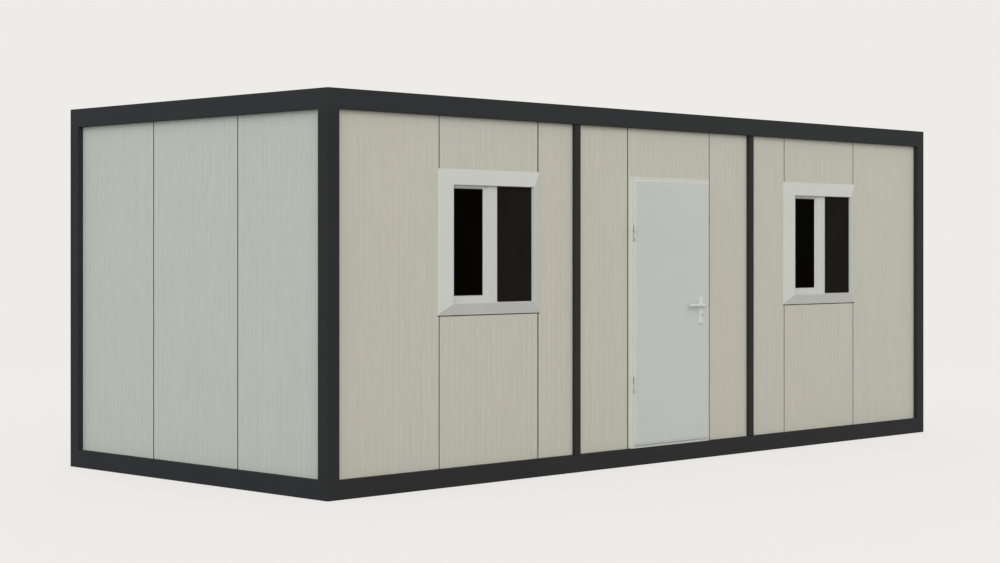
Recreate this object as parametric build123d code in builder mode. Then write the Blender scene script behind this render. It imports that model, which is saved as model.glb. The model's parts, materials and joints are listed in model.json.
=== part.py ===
from build123d import *
import os

# Portable site cabin: a steel frame filled with sandwich panels, millimetres, +Z up.
# Origin: centre of the footprint on the ground. The front wall faces -Y.
# Along every wall, "along" runs left to right as seen from outside, starting at the
# corner, and "depth" runs inwards from the outer plane of the steel frame.

# Overall frame
length = 7000
width = 3000
height = 2700
post_side = 100
post_wall = 4
base_rail_height = 129
roof_rail_height = 136
rail_wall = 4
rail_lip = 20

# Wall panels: what fills each module of the front, from its left corner to its right one
front_modules = (("left", "panel"), ("left", "window"), ("inner_left", "panel"), ("middle", "door"),
                 ("inner_right", "panel"), ("right", "window"), ("right", "panel"))
end_module_count = 3
panel_thickness = 50
panel_pitch = 985
long_recess = 40
end_recess = 45
reveal_width = 8
reveal_depth = 8
joint_clearance = 0.6
tongue_width = 14
tongue_length = 9
tongue_clearance = 0.5

# Intermediate posts on the long walls, each measured from the joint at its left
left_post_offset = 367.5
right_post_offset = 477.5
middle_post_width = 60
middle_post_set_back = 12
middle_post_wall = 3
middle_post_lip = 15

# Floor and roof
deck_thickness = 18
deck_clearance = 0.3
joist_height = 90
joist_width = 45
joist_count = 11
lining_thickness = 12
purlin_height = 50
purlin_width = 40
purlin_count = 8
roof_rib_height = 28
roof_rib_pitch = 240
roof_rib_top = 40
roof_rib_base = 80
roof_sheet_thickness = 1.5

# Windows
window_sill = 1203
window_height = 980
window_fit = 0.5
window_member = 66
window_side_member = 69
window_depth = 58
trim_overlap = 18
trim_edge = 3
trim_bevel = 18
trim_bevel_depth = 30
trim_crest_depth = 6
trim_left = 131
trim_right = 99
trim_top = 113
trim_bottom = 86
trim_crest = 4
trim_side_splay = 6
trim_level_splay = 3
track_start = 12
track_slope = 18
track_foot = 2
track_height = 16
mullion_offset = 461
mullion_width = 93
mullion_depth = 28
mullion_bevel = 6
mullion_lap = 49
mullion_thickness = 47
sash_depth = 35
sash_thickness = 30
sash_stile = 73
sash_meeting_stile = 87
sash_rail = 50
sash_bead = 9
sash_clearance = 0.5
glass_thickness = 6
fixed_glass_depth = 30

# Door: frame, leaf, hinges and lever
door_frame_margin = 15.5
door_frame_top = 2197
door_frame_depth = 16
door_frame_member = 57
door_frame_bevel = 19
door_frame_edge = 2
door_frame_overlap = 22
door_stop = 15
door_stop_depth = 54
threshold_height = 18
threshold_stop = 26
leaf_side_margin = 35
leaf_top_margin = 31
leaf_bottom_gap = 15
leaf_depth = 2
leaf_lip_thickness = 9
leaf_lip_rounding = 8
leaf_thickness = 46
leaf_clearance = 6
hinge_radius = 9
hinge_gap = 2
hinge_depth = -1
hinge_half = 56
hinge_play = 1
hinge_heights = (619, 1772)
hinge_plate = 4
hinge_plate_reach = 24
hinge_web = 10
pin_radius = 5
pin_clearance = 0.3
lever_backset = 105
lever_height = 1204
lever_length = 195
lever_reach = 46
lever_radius = 10
lever_bend = 16
lever_play = 0.5
backplate_width = 46
backplate_length = 211
backplate_below = 151
backplate_thickness = 12
backplate_corner = 14
backplate_rounding = 9
cylinder_drop = 77
cylinder_radius = 8.5
cylinder_proud = 3

# Worked out from the sizes above
wall_bottom = base_rail_height
wall_top = height - roof_rail_height
module_count = len(front_modules)
first_joint = (length - module_count * panel_pitch) / 2
end_first_joint = (width - end_module_count * panel_pitch) / 2
window_top = window_sill + window_height
door_number = [kind for place, kind in front_modules].index("door")
door_frame_start = first_joint + door_number * panel_pitch + door_frame_margin
door_frame_end = first_joint + (door_number + 1) * panel_pitch - door_frame_margin
door_cut_start = door_frame_start + door_frame_overlap
door_cut_end = door_frame_end - door_frame_overlap
door_cut_top = door_frame_top - door_frame_overlap
leaf_start = door_frame_start + leaf_side_margin
leaf_end = door_frame_end - leaf_side_margin
leaf_top = door_frame_top - leaf_top_margin
leaf_bottom = base_rail_height + threshold_height + leaf_bottom_gap
opening_start = door_frame_start + door_frame_member
opening_end = door_frame_end - door_frame_member
opening_top = door_frame_top - door_frame_member
wall_back = long_recess + panel_thickness

os.makedirs("parts", exist_ok=True)


def save(builder, node):
    """Label a finished piece and write its STEP file."""
    builder.part.label = node
    export_step(builder.part, f"parts/{node}.step")


def front(depth):
    """Plane on the front wall: x along the wall, y up, looking inwards at a depth."""
    return Plane(origin=(-length / 2, -width / 2 + depth, 0), x_dir=(1, 0, 0), z_dir=(0, -1, 0))


def plan(side, z):
    """Horizontal plane at height z: x along one wall, y inwards from its outer plane."""
    corner, run = {
        "front": ((-length / 2, -width / 2), (1, 0, 0)),
        "rear": ((length / 2, width / 2), (-1, 0, 0)),
        "left": ((-length / 2, width / 2), (0, -1, 0)),
        "right": ((length / 2, -width / 2), (0, 1, 0)),
    }[side]
    return Plane(origin=(*corner, z), x_dir=run, z_dir=(0, 0, 1))


def section(side, start):
    """Plane across a rail: x inwards from the wall's outer plane, y up, facing along the wall."""
    base = plan(side, 0)
    origin = base.from_local_coords((start, 0, 0))
    return Plane(origin=origin, x_dir=base.y_dir, z_dir=base.x_dir)


def span(low, high, depth_low, depth_high, mode=Mode.ADD):
    """Rectangle in a sketch, given by its limits."""
    with Locations(((low + high) / 2, (depth_low + depth_high) / 2)):
        Rectangle(high - low, depth_high - depth_low, mode=mode)


# Steel frame: corner posts


def corner_post(side):
    """Square tube at the left end of a wall, closed by a plate at the top."""
    with BuildPart() as post:
        with BuildSketch(plan(side, 0)):
            span(0, post_side, 0, post_side)
        extrude(amount=height)
        with BuildSketch(plan(side, 0)):
            span(post_wall, post_side - post_wall, post_wall, post_side - post_wall)
        extrude(amount=height - post_wall, mode=Mode.SUBTRACT)
    return post


post_places = {"front": "front_left", "right": "front_right", "rear": "rear_right", "left": "rear_left"}
for side, place in post_places.items():
    save(corner_post(side), f"corner_post_{place}")


# Steel frame: lipped channels between the posts, open to the inside


def channel(side, run, bottom, tall):
    """Lipped channel along a wall, between its two corner posts."""
    with BuildPart() as rail:
        with BuildSketch(section(side, post_side)):
            span(0, post_side, bottom, bottom + tall)
            span(rail_wall, post_side - rail_wall, bottom + rail_wall, bottom + tall - rail_wall,
                 Mode.SUBTRACT)
            span(post_side / 2, post_side, bottom + rail_lip, bottom + tall - rail_lip, Mode.SUBTRACT)
        extrude(amount=run - 2 * post_side)
    return rail


wall_runs = {"front": length, "rear": length, "left": width, "right": width}
for side, run in wall_runs.items():
    save(channel(side, run, 0, base_rail_height), f"base_rail_{side}")
    save(channel(side, run, wall_top, roof_rail_height), f"roof_rail_{side}")


def module_edges(number, count=module_count, joint=first_joint, run=length):
    """Joints at the two sides of a numbered module; the outer modules end at the corner posts."""
    start = post_side if number == 0 else joint + number * panel_pitch
    stop = run - post_side if number == count - 1 else joint + (number + 1) * panel_pitch
    return start, stop


# Steel frame: intermediate posts, lipped channels that stand against the panels
left_post_start = module_edges(door_number - 1)[0] + left_post_offset
right_post_start = module_edges(door_number + 1)[0] + right_post_offset
with BuildPart() as intermediate_posts:
    for side in ("front", "rear"):
        for start in (left_post_start, right_post_start):
            begin = start if side == "front" else length - start - middle_post_width
            end = begin + middle_post_width
            inner_face = long_recess - middle_post_wall
            with BuildSketch(plan(side, wall_bottom)):
                span(begin, end, middle_post_set_back, long_recess)
                span(begin + middle_post_wall, end - middle_post_wall,
                     middle_post_set_back + middle_post_wall, inner_face, Mode.SUBTRACT)
                span(begin + middle_post_lip, end - middle_post_lip, inner_face, long_recess, Mode.SUBTRACT)
            extrude(amount=wall_top - wall_bottom)
save(intermediate_posts, "intermediate_posts")


# Sandwich panels: tongue on the right edge, groove on the left, a reveal in the outer face


def panel_outline(start, stop, recess, first=False, last=False):
    """Plan of one panel; first and last panels butt against a corner post."""
    left = start if first else start + joint_clearance / 2
    right = stop if last else stop - joint_clearance / 2
    inner = recess + panel_thickness
    middle = recess + panel_thickness / 2
    reveal = (reveal_width - joint_clearance) / 2
    span(left, right, recess, inner)
    if not first:
        span(left, left + tongue_length + tongue_clearance, middle - tongue_width / 2 - tongue_clearance,
             middle + tongue_width / 2 + tongue_clearance, Mode.SUBTRACT)
        span(left, left + reveal, recess, recess + reveal_depth, Mode.SUBTRACT)
    if not last:
        span(right, right + tongue_length, middle - tongue_width / 2, middle + tongue_width / 2)
        span(right - reveal, right, recess, recess + reveal_depth, Mode.SUBTRACT)


def long_panel(side, number, bottom, top):
    """One panel of a long wall between two heights, with no tongue beside a window."""
    start, stop = module_edges(number)
    last = number == module_count - 1
    with BuildPart() as panel:
        with BuildSketch(plan(side, bottom)):
            panel_outline(start, stop, long_recess, first=number == 0, last=last)
        extrude(amount=top - bottom)
        if side == "front" and not last and front_modules[number + 1][1] == "window":
            with BuildSketch(plan(side, window_sill)):
                span(stop, stop + 2 * tongue_length, long_recess, wall_back)
            extrude(amount=window_height, mode=Mode.SUBTRACT)
    return panel


def grouped(pieces):
    """Several pieces kept as separate solids in one node."""
    with BuildPart() as group:
        for piece in pieces:
            add(piece.part)
    return group


windows = {}
for number, (place, kind) in enumerate(front_modules):
    if kind == "panel":
        save(long_panel("front", number, wall_bottom, wall_top), f"front_panel_{place}")
    if kind == "window":
        windows[f"window_{place}"] = module_edges(number)

window_numbers = [number for number, (place, kind) in enumerate(front_modules) if kind == "window"]
under_windows = [long_panel("front", number, wall_bottom, window_sill) for number in window_numbers]
over_windows = [long_panel("front", number, window_top, wall_top) for number in window_numbers]
rear_wall = [long_panel("rear", number, wall_bottom, wall_top) for number in range(module_count)]
save(grouped(under_windows), "front_panels_under_windows")
save(grouped(over_windows), "front_panels_over_windows")
save(grouped(rear_wall), "rear_panels")
save(long_panel("front", door_number, door_cut_top, wall_top), "front_panel_over_door")

with BuildPart() as door_side_strips:
    with BuildSketch(plan("front", wall_bottom)):
        panel_outline(*module_edges(door_number), long_recess)
        span(door_cut_start, door_cut_end, 0, wall_back, Mode.SUBTRACT)
    extrude(amount=door_cut_top - wall_bottom)
save(door_side_strips, "front_door_side_strips")

for side in ("left", "right"):
    with BuildPart() as end_panels:
        for number in range(end_module_count):
            start, stop = module_edges(number, end_module_count, end_first_joint, width)
            with BuildSketch(plan(side, wall_bottom)):
                panel_outline(start, stop, end_recess, first=number == 0, last=number == end_module_count - 1)
            extrude(amount=wall_top - wall_bottom)
    save(end_panels, f"{side}_end_panels")


# Floor: joists between the long rails and a deck over them
long_inner = width / 2 - long_recess - panel_thickness
end_inner = length / 2 - end_recess - panel_thickness
joist_span = length - 2 * post_side
with BuildPart() as floor_joists:
    with BuildSketch(Plane.XY.offset(base_rail_height - joist_height)):
        with GridLocations(joist_span / (joist_count + 1), 0, joist_count, 1):
            Rectangle(joist_width, width - 2 * post_side)
    extrude(amount=joist_height)
save(floor_joists, "floor_joists")

with BuildPart() as floor_deck:
    with BuildSketch(Plane.XY.offset(base_rail_height)):
        Rectangle(2 * (end_inner - deck_clearance), 2 * (long_inner - deck_clearance))
        with GridLocations(length - post_side, width - post_side, 2, 2):
            Rectangle(post_side + 2 * deck_clearance, post_side + 2 * deck_clearance, mode=Mode.SUBTRACT)
    extrude(amount=deck_thickness)
save(floor_deck, "floor_deck")


# Roof: lining on the rails' lower flanges, purlins and a ribbed sheet inside the frame
with BuildPart() as ceiling_lining:
    with BuildSketch(Plane.XY.offset(wall_top)):
        Rectangle(length - 2 * post_side - 2 * deck_clearance, width - 2 * post_side - 2 * deck_clearance)
    extrude(amount=lining_thickness)
save(ceiling_lining, "ceiling_lining")

purlin_bottom = wall_top + lining_thickness
with BuildPart() as roof_purlins:
    with BuildSketch(Plane.XY.offset(purlin_bottom)):
        with GridLocations(joist_span / (purlin_count + 1), 0, purlin_count, 1):
            Rectangle(purlin_width, width - 2 * post_side)
    extrude(amount=purlin_height)
save(roof_purlins, "roof_purlins")

sheet_bottom = purlin_bottom + purlin_height
sheet_half = length / 2 - post_side - deck_clearance
rib_count = int(2 * sheet_half // roof_rib_pitch)
with BuildPart() as roof_sheet:
    with BuildSketch(Plane.XZ.offset(-(width / 2 - post_side - deck_clearance))) as rib_profile:
        with BuildLine():
            under = [(-sheet_half, sheet_bottom)]
            for index in range(rib_count):
                centre = (index - (rib_count - 1) / 2) * roof_rib_pitch
                under.append((centre - roof_rib_base / 2, sheet_bottom))
                under.append((centre - roof_rib_top / 2, sheet_bottom + roof_rib_height))
                under.append((centre + roof_rib_top / 2, sheet_bottom + roof_rib_height))
                under.append((centre + roof_rib_base / 2, sheet_bottom))
            under.append((sheet_half, sheet_bottom))
            over = [(x, z + roof_sheet_thickness) for x, z in reversed(under)]
            Polyline(*under, *over, close=True)
        make_face()
    extrude(amount=2 * (width / 2 - post_side - deck_clearance))
save(roof_sheet, "roof_sheet")


# Windows: frame with a fixed mullion, sliding sash, glass and an outside trim


def grown(limits, sideways, level):
    """Limits (left, right, low, high) moved outwards."""
    left, right, low, high = limits
    return left - sideways, right + sideways, low - level, high + level


def trim_opening(start, stop):
    """Limits of the opening in the casing, at the fixed pane."""
    return (start - trim_overlap + trim_left, stop + trim_overlap - trim_right,
            window_sill - trim_overlap + trim_bottom, window_top + trim_overlap - trim_top)


def window_frame(start, stop):
    """Ring in the wall's cut-out, with the mullion that parts the panes and laps over the sash."""
    ring = (start + window_fit, stop - window_fit, window_sill + window_fit, window_top - window_fit)
    low, high = trim_opening(start, stop)[2:]
    mullion_start = start + mullion_offset
    mullion_end = mullion_start + mullion_width
    lap_depth = sash_depth - sash_clearance
    with BuildPart() as frame:
        with BuildSketch(front(long_recess)):
            span(*ring)
            span(*grown(ring, -window_side_member, -window_member), Mode.SUBTRACT)
        extrude(amount=-window_depth)
        with BuildSketch(front(long_recess)):
            span(mullion_start + mullion_lap, mullion_end, ring[2] + window_member, ring[3] - window_member)
        extrude(amount=long_recess - mullion_depth - mullion_thickness)
        with BuildSketch(plan("front", low)):
            with BuildLine():
                Polyline((mullion_start, lap_depth), (mullion_start + mullion_bevel, mullion_depth),
                         (mullion_end, mullion_depth), (mullion_end, long_recess),
                         (mullion_start + mullion_lap, long_recess), (mullion_start + mullion_lap, lap_depth),
                         close=True)
            make_face()
        extrude(amount=high - low)
    return frame


def sash_limits(start):
    """Outer limits of the sash."""
    inset = window_fit + sash_clearance
    return (start + window_side_member + inset, start + mullion_offset + mullion_lap - sash_clearance,
            window_sill + window_member + inset, window_top - window_member - inset)


def pane_limits(start):
    """Limits of the pane inside the sash."""
    left, right, low, high = sash_limits(start)
    return left + sash_stile, right - sash_meeting_stile, low + sash_rail, high - sash_rail


def window_sash(start):
    """Sliding sash behind the left half of the frame, with a sloping bead round its pane."""
    pane = pane_limits(start)
    with BuildPart() as sash:
        with BuildSketch(front(sash_depth)):
            span(*sash_limits(start))
            span(*pane, Mode.SUBTRACT)
        extrude(amount=-sash_thickness)
        with BuildSketch(front(sash_depth + sash_bead)):
            span(*pane)
        with BuildSketch(front(sash_depth)):
            span(*grown(pane, sash_bead, sash_bead))
        loft(mode=Mode.SUBTRACT)
    return sash


def window_glass(start, stop):
    """Glass of the sash and of the fixed half."""
    right, low, high = trim_opening(start, stop)[1:]
    with BuildPart() as glass:
        with BuildSketch(front(sash_depth + sash_bead)):
            span(*pane_limits(start))
        extrude(amount=-glass_thickness)
        with BuildSketch(front(fixed_glass_depth)):
            span(start + mullion_offset + mullion_width, right, low, high)
        extrude(amount=-glass_thickness)
    return glass


def window_trim(start, stop):
    """Bevelled casing with mitred corners, a splayed opening and a sloping track under the sash."""
    outer = (start - trim_overlap, stop + trim_overlap, window_sill - trim_overlap, window_top + trim_overlap)
    inner = trim_opening(start, stop)
    low = inner[2] - trim_level_splay
    with BuildPart() as trim:
        with BuildSketch(front(long_recess)):
            span(*outer)
        extrude(amount=trim_edge)
        with BuildSketch(front(long_recess - trim_edge)):
            span(*outer)
        with BuildSketch(front(trim_bevel_depth)):
            span(*grown(outer, -trim_bevel, -trim_bevel))
        loft()
        with BuildSketch(front(trim_bevel_depth)):
            span(*grown(outer, -trim_bevel, -trim_bevel))
        with BuildSketch(front(trim_crest_depth)):
            span(*grown(inner, trim_side_splay + trim_crest, trim_level_splay + trim_crest))
        loft()
        with BuildSketch(front(long_recess)):
            span(*inner)
        extrude(amount=long_recess - trim_crest_depth, mode=Mode.SUBTRACT)
        with BuildSketch(front(fixed_glass_depth)):
            span(*inner)
        with BuildSketch(front(trim_crest_depth)):
            span(*grown(inner, trim_side_splay, trim_level_splay))
        loft(mode=Mode.SUBTRACT)
        with BuildSketch(front(long_recess)):
            span(*grown(sash_limits(start), sash_clearance, sash_clearance))
        extrude(amount=long_recess - sash_depth + sash_clearance, mode=Mode.SUBTRACT)
        with BuildSketch(section("front", inner[0])):
            with BuildLine():
                Polyline((track_start, low - track_foot), (track_start, low + track_foot),
                         (track_start + track_slope, low + track_height),
                         (sash_depth - sash_clearance, low + track_height),
                         (sash_depth - sash_clearance, low - track_foot), close=True)
            make_face()
        extrude(amount=start + mullion_offset - inner[0])
    return trim


for name, (start, stop) in windows.items():
    save(window_frame(start, stop), f"{name}_frame")
    save(window_sash(start), f"{name}_sash")
    save(window_glass(start, stop), f"{name}_glass")
    save(window_trim(start, stop), f"{name}_trim")


# Door frame: jambs and head swept round the opening with a stop behind the leaf, and a threshold
with BuildPart() as door_frame:
    with BuildLine(front(long_recess)) as frame_path:
        Polyline((door_frame_start, wall_bottom), (door_frame_start, door_frame_top),
                 (door_frame_end, door_frame_top), (door_frame_end, wall_bottom))
    with BuildSketch(plan("front", wall_bottom)) as jamb_profile:
        with BuildLine():
            face_start = door_frame_start + door_frame_bevel
            body_start = door_cut_start + window_fit
            Polyline((door_frame_start, long_recess), (door_frame_start, long_recess - door_frame_edge),
                     (face_start, door_frame_depth), (opening_start, door_frame_depth),
                     (opening_start, door_stop_depth), (opening_start + door_stop, door_stop_depth),
                     (opening_start + door_stop, wall_back), (body_start, wall_back),
                     (body_start, long_recess), close=True)
        make_face()
    sweep(path=frame_path.wire(), transition=Transition.RIGHT)
save(door_frame, "door_frame")

with BuildPart() as door_threshold:
    with BuildSketch(plan("front", wall_bottom)):
        span(opening_start, opening_end, door_frame_depth, door_stop_depth)
    extrude(amount=threshold_height)
    with BuildSketch(plan("front", wall_bottom)):
        span(opening_start + door_stop, opening_end - door_stop, door_stop_depth, wall_back)
    extrude(amount=threshold_height + threshold_stop)
save(door_threshold, "door_threshold")


# Door leaf: a panel in the frame with a lip that laps over it, bored for the lock
lever_along = leaf_end - lever_backset
cylinder_height = lever_height - cylinder_drop
with BuildPart() as door_leaf:
    with BuildSketch(front(leaf_depth)):
        span(leaf_start, leaf_end, leaf_bottom, leaf_top)
    extrude(amount=-leaf_lip_thickness)
    fillet(door_leaf.faces().sort_by(Axis.Y)[0].edges(), leaf_lip_rounding)
    with BuildSketch(front(leaf_depth + leaf_lip_rounding)):
        span(opening_start + leaf_clearance, opening_end - leaf_clearance, leaf_bottom,
             opening_top - leaf_clearance)
    extrude(amount=-(leaf_thickness - leaf_lip_rounding))
    with BuildSketch(front(leaf_depth)):
        with Locations((lever_along, lever_height)):
            Circle(lever_radius + lever_play)
        with Locations((lever_along, cylinder_height)):
            Circle(cylinder_radius)
    extrude(amount=-leaf_thickness, mode=Mode.SUBTRACT)
save(door_leaf, "door_leaf")


# Hinges: lift-off pairs, with the pinned half on the frame and the bored half above it on the leaf
hinge_along = leaf_start - hinge_gap - hinge_radius
with BuildPart() as frame_hinges:
    for middle in hinge_heights:
        bottom = middle - hinge_half - hinge_play / 2
        with BuildSketch(plan("front", bottom)):
            with Locations((hinge_along, hinge_depth)):
                Circle(hinge_radius)
            span(hinge_along - hinge_web / 2, hinge_along + hinge_web / 2, hinge_depth, door_frame_depth)
        extrude(amount=hinge_half)
        with BuildSketch(plan("front", bottom + hinge_half)):
            with Locations((hinge_along, hinge_depth)):
                Circle(pin_radius)
        extrude(amount=hinge_half - hinge_play)
save(frame_hinges, "door_hinges_frame_half")

with BuildPart() as leaf_hinges:
    for middle in hinge_heights:
        with BuildSketch(plan("front", middle + hinge_play / 2)):
            with Locations((hinge_along, hinge_depth)):
                Circle(hinge_radius)
            span(hinge_along, leaf_start + hinge_plate_reach, leaf_depth - hinge_plate, leaf_depth)
            with Locations((hinge_along, hinge_depth)):
                Circle(pin_radius + pin_clearance, mode=Mode.SUBTRACT)
        extrude(amount=hinge_half)
save(leaf_hinges, "door_hinges_leaf_half")


# Lock: a rounded backplate on each face of the leaf, bored for the lever and the key cylinder
leaf_back = leaf_depth + leaf_thickness
plate_middle = lever_height - backplate_below + backplate_length / 2


def backplate(face, outwards):
    """Backplate that stands on one face of the leaf; outwards is 1 outside and -1 inside."""
    with BuildPart() as plate:
        with BuildSketch(front(face)):
            with Locations((lever_along, plate_middle)):
                RectangleRounded(backplate_width, backplate_length, backplate_corner)
        extrude(amount=outwards * backplate_thickness)
        crown = plate.faces().filter_by(Axis.Y).sort_by(Axis.Y)[0 if outwards > 0 else -1]
        fillet(crown.edges(), backplate_rounding)
        with BuildSketch(front(face)):
            with Locations((lever_along, lever_height)):
                Circle(lever_radius + lever_play)
            with Locations((lever_along, cylinder_height)):
                Circle(cylinder_radius)
        extrude(amount=outwards * backplate_thickness, mode=Mode.SUBTRACT)
    return plate


save(grouped([backplate(leaf_depth, 1), backplate(leaf_back, -1)]), "lock_backplates")

with BuildPart() as lock_cylinder:
    with BuildSketch(front(leaf_depth - backplate_thickness - cylinder_proud)):
        with Locations((lever_along, cylinder_height)):
            Circle(cylinder_radius)
    extrude(amount=-(leaf_thickness + 2 * (backplate_thickness + cylinder_proud)))
save(lock_cylinder, "lock_cylinder")


# Levers: one round bar bent to a grip on each side of the leaf, joined through it
leaf_middle = leaf_depth + leaf_thickness / 2
grip_start = lever_along
grip_end = lever_along - lever_length
with BuildPart() as levers:
    for grip_depth in (leaf_depth - lever_reach, leaf_back + lever_reach):
        with BuildLine(plan("front", lever_height)) as grip_path:
            FilletPolyline((grip_start, leaf_middle), (grip_start, grip_depth), (grip_end, grip_depth),
                           radius=lever_bend)
        towards_grip = 1 if grip_depth > leaf_middle else -1
        grip_origin = plan("front", lever_height).from_local_coords((grip_start, leaf_middle, 0))
        with BuildSketch(Plane(origin=grip_origin, z_dir=(0, towards_grip, 0))):
            Circle(lever_radius)
        sweep(path=grip_path.wire())
    fillet(levers.edges().filter_by(GeomType.CIRCLE).group_by(Axis.X)[0], lever_radius / 2)
save(levers, "door_levers")
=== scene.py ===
# %% [markdown]
# # A portable site cabin
#
# A steel frame, coated sandwich panels, two white windows and a door, seven metres long.
# Its solid parts are loaded here with their true sizes and places. This lesson adds what solids
# don't carry: the view, the light, the finishes, and a few fine pieces such as the door lever.
# Lengths are in metres, +Z is up, and the front wall faces -Y.

# %% Load the cabin
import json
import bpy
import numpy as np
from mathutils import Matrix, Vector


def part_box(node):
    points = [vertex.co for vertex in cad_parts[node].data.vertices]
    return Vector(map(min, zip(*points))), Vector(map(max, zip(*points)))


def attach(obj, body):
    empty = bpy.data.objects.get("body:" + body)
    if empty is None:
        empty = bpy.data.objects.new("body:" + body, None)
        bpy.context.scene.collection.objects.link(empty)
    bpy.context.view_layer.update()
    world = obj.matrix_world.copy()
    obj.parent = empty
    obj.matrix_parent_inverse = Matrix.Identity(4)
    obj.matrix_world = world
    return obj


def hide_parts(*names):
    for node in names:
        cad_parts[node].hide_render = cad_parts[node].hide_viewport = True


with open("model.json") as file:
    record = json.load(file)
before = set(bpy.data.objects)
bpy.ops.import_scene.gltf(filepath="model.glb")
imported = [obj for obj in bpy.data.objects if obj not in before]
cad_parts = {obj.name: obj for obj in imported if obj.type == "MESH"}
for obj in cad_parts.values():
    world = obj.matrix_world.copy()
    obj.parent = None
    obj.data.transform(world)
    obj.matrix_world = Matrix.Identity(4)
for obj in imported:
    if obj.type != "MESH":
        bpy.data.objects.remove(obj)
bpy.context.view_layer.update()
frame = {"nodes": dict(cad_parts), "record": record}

# %% [markdown]
# ## The view
# The camera stands at eye level, off the cabin's left front corner, and looks level, so upright
# edges stay upright. A level camera would put the cabin too low in the frame. Tilting it down
# would make the posts lean, so a small lens shift moves the cabin up instead.

# %% Camera
eye_place = (-11.9453, -11.4625, 1.6444)
eye_turn = (np.pi / 2, 0.0, -0.7885)
lens = bpy.data.cameras.new("view_lens")
lens.lens = 71.945
lens.sensor_width = 36.0
lens.shift_x = 0.0013
lens.shift_y = -0.0324
lens.clip_end = 500.0
eye = bpy.data.objects.new("view_camera", lens)
eye.location = eye_place
eye.rotation_euler = eye_turn
bpy.context.scene.collection.objects.link(eye)
bpy.context.scene.camera = eye
bpy.context.scene.view_settings.view_transform = "Standard"
print("camera at", eye_place, "lens", lens.lens, "mm")

# %% [markdown]
# ## Small helpers for finishes
# A finish is a recipe of nodes around one shader. The same steps come back each time: stretch a
# noise over the piece, turn it into a range of numbers, mix two colours with it, and let it raise
# the surface a little. Each step is one helper here. All patterns read the piece's own
# coordinates, which are metres in the cabin's frame, so a grain of 3 mm is written as 0.003.

# %% Start a finish
def begin(name, colour, roughness, edge=0.0):
    """A new finish, its tree, its shader and the piece's coordinates. raised() makes its edges
    look rounded by a radius of edge."""
    finish = bpy.data.materials.new(name)
    finish.use_nodes = True
    tree = finish.node_tree
    shader = tree.nodes["Principled BSDF"]
    shader.inputs["Base Color"].default_value = (*colour, 1.0)
    shader.inputs["Roughness"].default_value = roughness
    place = tree.nodes.new("ShaderNodeTexCoord").outputs["Object"]
    tree["edge"] = edge
    return finish, tree, shader, place


print("helper ready: begin")

# %% [markdown]
# ### Patterns and numbers
# Noise is grey everywhere, and most of it lies between 0.3 and 0.7. A map from that range to the
# numbers that a finish needs is easier to read than a colour ramp, because both ends are numbers.

# %% Patterns and numbers
def noise(tree, place, size, detail=2.0, keep=0.5):
    """Noise whose blotches are about size (x, y, z) metres across. Each finer layer of detail
    keeps a share of the strength of the one before."""
    stretch = tree.nodes.new("ShaderNodeMapping")
    stretch.inputs["Scale"].default_value = tuple(1.0 / s for s in size)
    tree.links.new(place, stretch.inputs["Vector"])
    cloud = tree.nodes.new("ShaderNodeTexNoise")
    cloud.inputs["Scale"].default_value = 1.0
    cloud.inputs["Detail"].default_value = detail
    cloud.inputs["Roughness"].default_value = keep
    tree.links.new(stretch.outputs["Vector"], cloud.inputs["Vector"])
    return cloud.outputs["Fac"]


def spread(tree, value, low, high, source=(0.3, 0.7)):
    """Turn a value between the two source numbers into one between low and high."""
    ramp = tree.nodes.new("ShaderNodeMapRange")
    ramp.inputs["From Min"].default_value = source[0]
    ramp.inputs["From Max"].default_value = source[1]
    ramp.inputs["To Min"].default_value = low
    ramp.inputs["To Max"].default_value = high
    tree.links.new(value, ramp.inputs["Value"])
    return ramp.outputs["Result"]


def work_out(tree, sort, first, second):
    """One step of arithmetic. Either part may be a number or another node's value."""
    step = tree.nodes.new("ShaderNodeMath")
    step.operation = sort
    for socket, part in zip(step.inputs, (first, second)):
        if isinstance(part, (int, float)):
            socket.default_value = part
        else:
            tree.links.new(part, socket)
    return step.outputs["Value"]


def along(tree, place, axis):
    """The coordinate along x, y or z."""
    parts = tree.nodes.new("ShaderNodeSeparateXYZ")
    tree.links.new(place, parts.inputs["Vector"])
    return parts.outputs["XYZ".index(axis.upper())]


print("helpers ready: noise, spread, work_out, along")

# %% [markdown]
# ### Colours
# No coat has one even tone. Most finishes below go from a slightly darker tone to a slightly
# lighter one with a noise, and their roughness goes with it. A helper does both at once.

# %% Colours
def shade(colour, factor):
    """A colour times a factor: one number, or one each for its red, green and blue."""
    return tuple((np.array(colour) * factor).tolist())


def mixed(tree, share, first, second):
    """Colour between first and second. Each is three numbers or another node's colour."""
    mixer = tree.nodes.new("ShaderNodeMix")
    mixer.data_type = "RGBA"
    tree.links.new(share, mixer.inputs[0])
    for socket, part in ((mixer.inputs[6], first), (mixer.inputs[7], second)):
        if isinstance(part, tuple):
            socket.default_value = (*part, 1.0)
        else:
            tree.links.new(part, socket)
    return mixer.outputs[2]


def clouded(tree, shader, cloud, low, high, rough=None):
    """The colour goes from low to high as the cloud does, and the roughness from the first to
    the second number of rough."""
    tone = mixed(tree, spread(tree, cloud, 0.0, 1.0), low, high)
    tree.links.new(tone, shader.inputs["Base Color"])
    if rough is not None:
        tree.links.new(spread(tree, cloud, *rough), shader.inputs["Roughness"])


print("helpers ready: shade, mixed, clouded")

# %% [markdown]
# ### Height
# Fine height is cheaper as a bump than as mesh. A bump has a depth in metres, so it stays true to
# the real size, and several can lie one over the other. Sharp edges look cut from card, so a
# bevel, which only bends the light, goes under them.

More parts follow.
